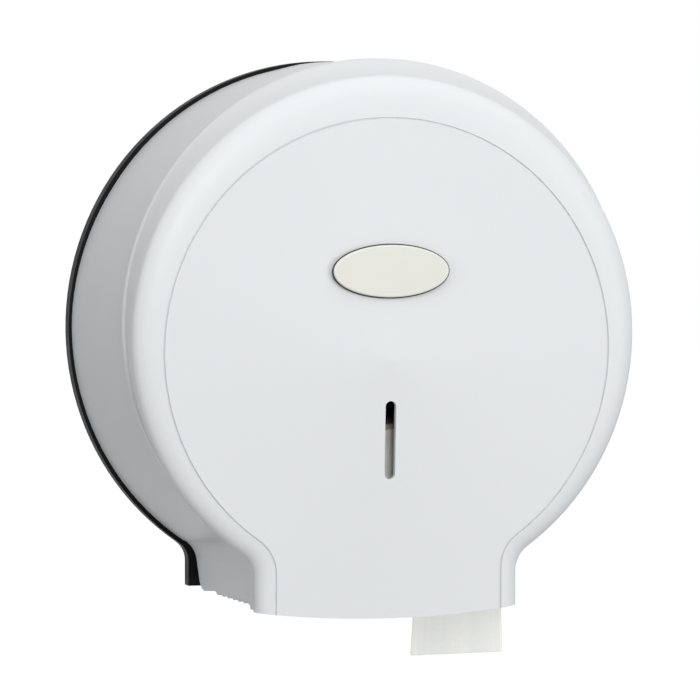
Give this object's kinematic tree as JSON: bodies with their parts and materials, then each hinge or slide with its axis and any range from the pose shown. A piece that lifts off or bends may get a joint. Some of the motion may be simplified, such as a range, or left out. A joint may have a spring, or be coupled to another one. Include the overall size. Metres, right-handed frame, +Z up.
{
  "type": "jumbo toilet roll dispenser",
  "caption": "Round wall-mounted toilet roll dispenser with a domed, bottom-hinged cover, a key lock, a sight slot, a toothed tear edge and a roll on a free-turning hub.",
  "frame": {"origin": "centre of the round back plate, on the wall face", "axes": "+X to the right seen from the front, +Y into the wall, +Z up"},
  "size_m": [0.2756, 0.1289, 0.3124],
  "materials": {
    "white_plastic": "gloss",
    "black_plastic": "satin",
    "grey_plastic": "satin",
    "cream_plastic": "satin",
    "tissue": "matt",
    "core_board": "matt",
    "steel": "bright zinc",
    "zinc": "satin"
  },
  "bodies": {
    "base": {"back_plate": "black_plastic", "hinge_pin_left": "steel", "hinge_pin_right": "steel", "spindle_post": "black_plastic", "spindle_screws": "steel", "hub_washer": "steel", "hub_screw": "steel", "latch_keeper": "black_plastic", "keeper_screws": "steel", "paper_tail": "tissue"},
    "hub": {"hub_sleeve": "grey_plastic"},
    "roll": {"roll_core": "core_board", "paper_roll": "tissue"},
    "cover": {"side_band": "white_plastic", "front_cover": "white_plastic", "badge_pad": "black_plastic", "badge_plate": "cream_plastic", "cover_screws": "steel", "lock_housing": "steel", "lock_nut": "steel"},
    "lock": {"lock_plug": "steel", "latch_cam": "zinc", "cam_screw": "steel"}
  },
  "joints": [
    {"name": "roll_spin", "type": "hinge", "parent": "base", "child": "roll", "pos_m": [0, 0, -0.0077], "axis": [0, 1, 0], "continuous": true},
    {"name": "hub_spin", "type": "hinge", "parent": "base", "child": "hub", "pos_m": [0, 0, 0], "axis": [0, 1, 0], "continuous": true},
    {"name": "cover_hinge", "type": "hinge", "parent": "base", "child": "cover", "pos_m": [0, -0.022, -0.126], "axis": [1, 0, 0], "range_deg": [0, 90]},
    {"name": "lock_turn", "type": "hinge", "parent": "cover", "child": "lock", "pos_m": [0, -0.034, 0.124], "axis": [0, 0, 1], "range_deg": [0, 90]}
  ],
  "couplings": [
    {"joint": "hub_spin", "follows": "roll_spin", "ratio": 1.2667}
  ]
}
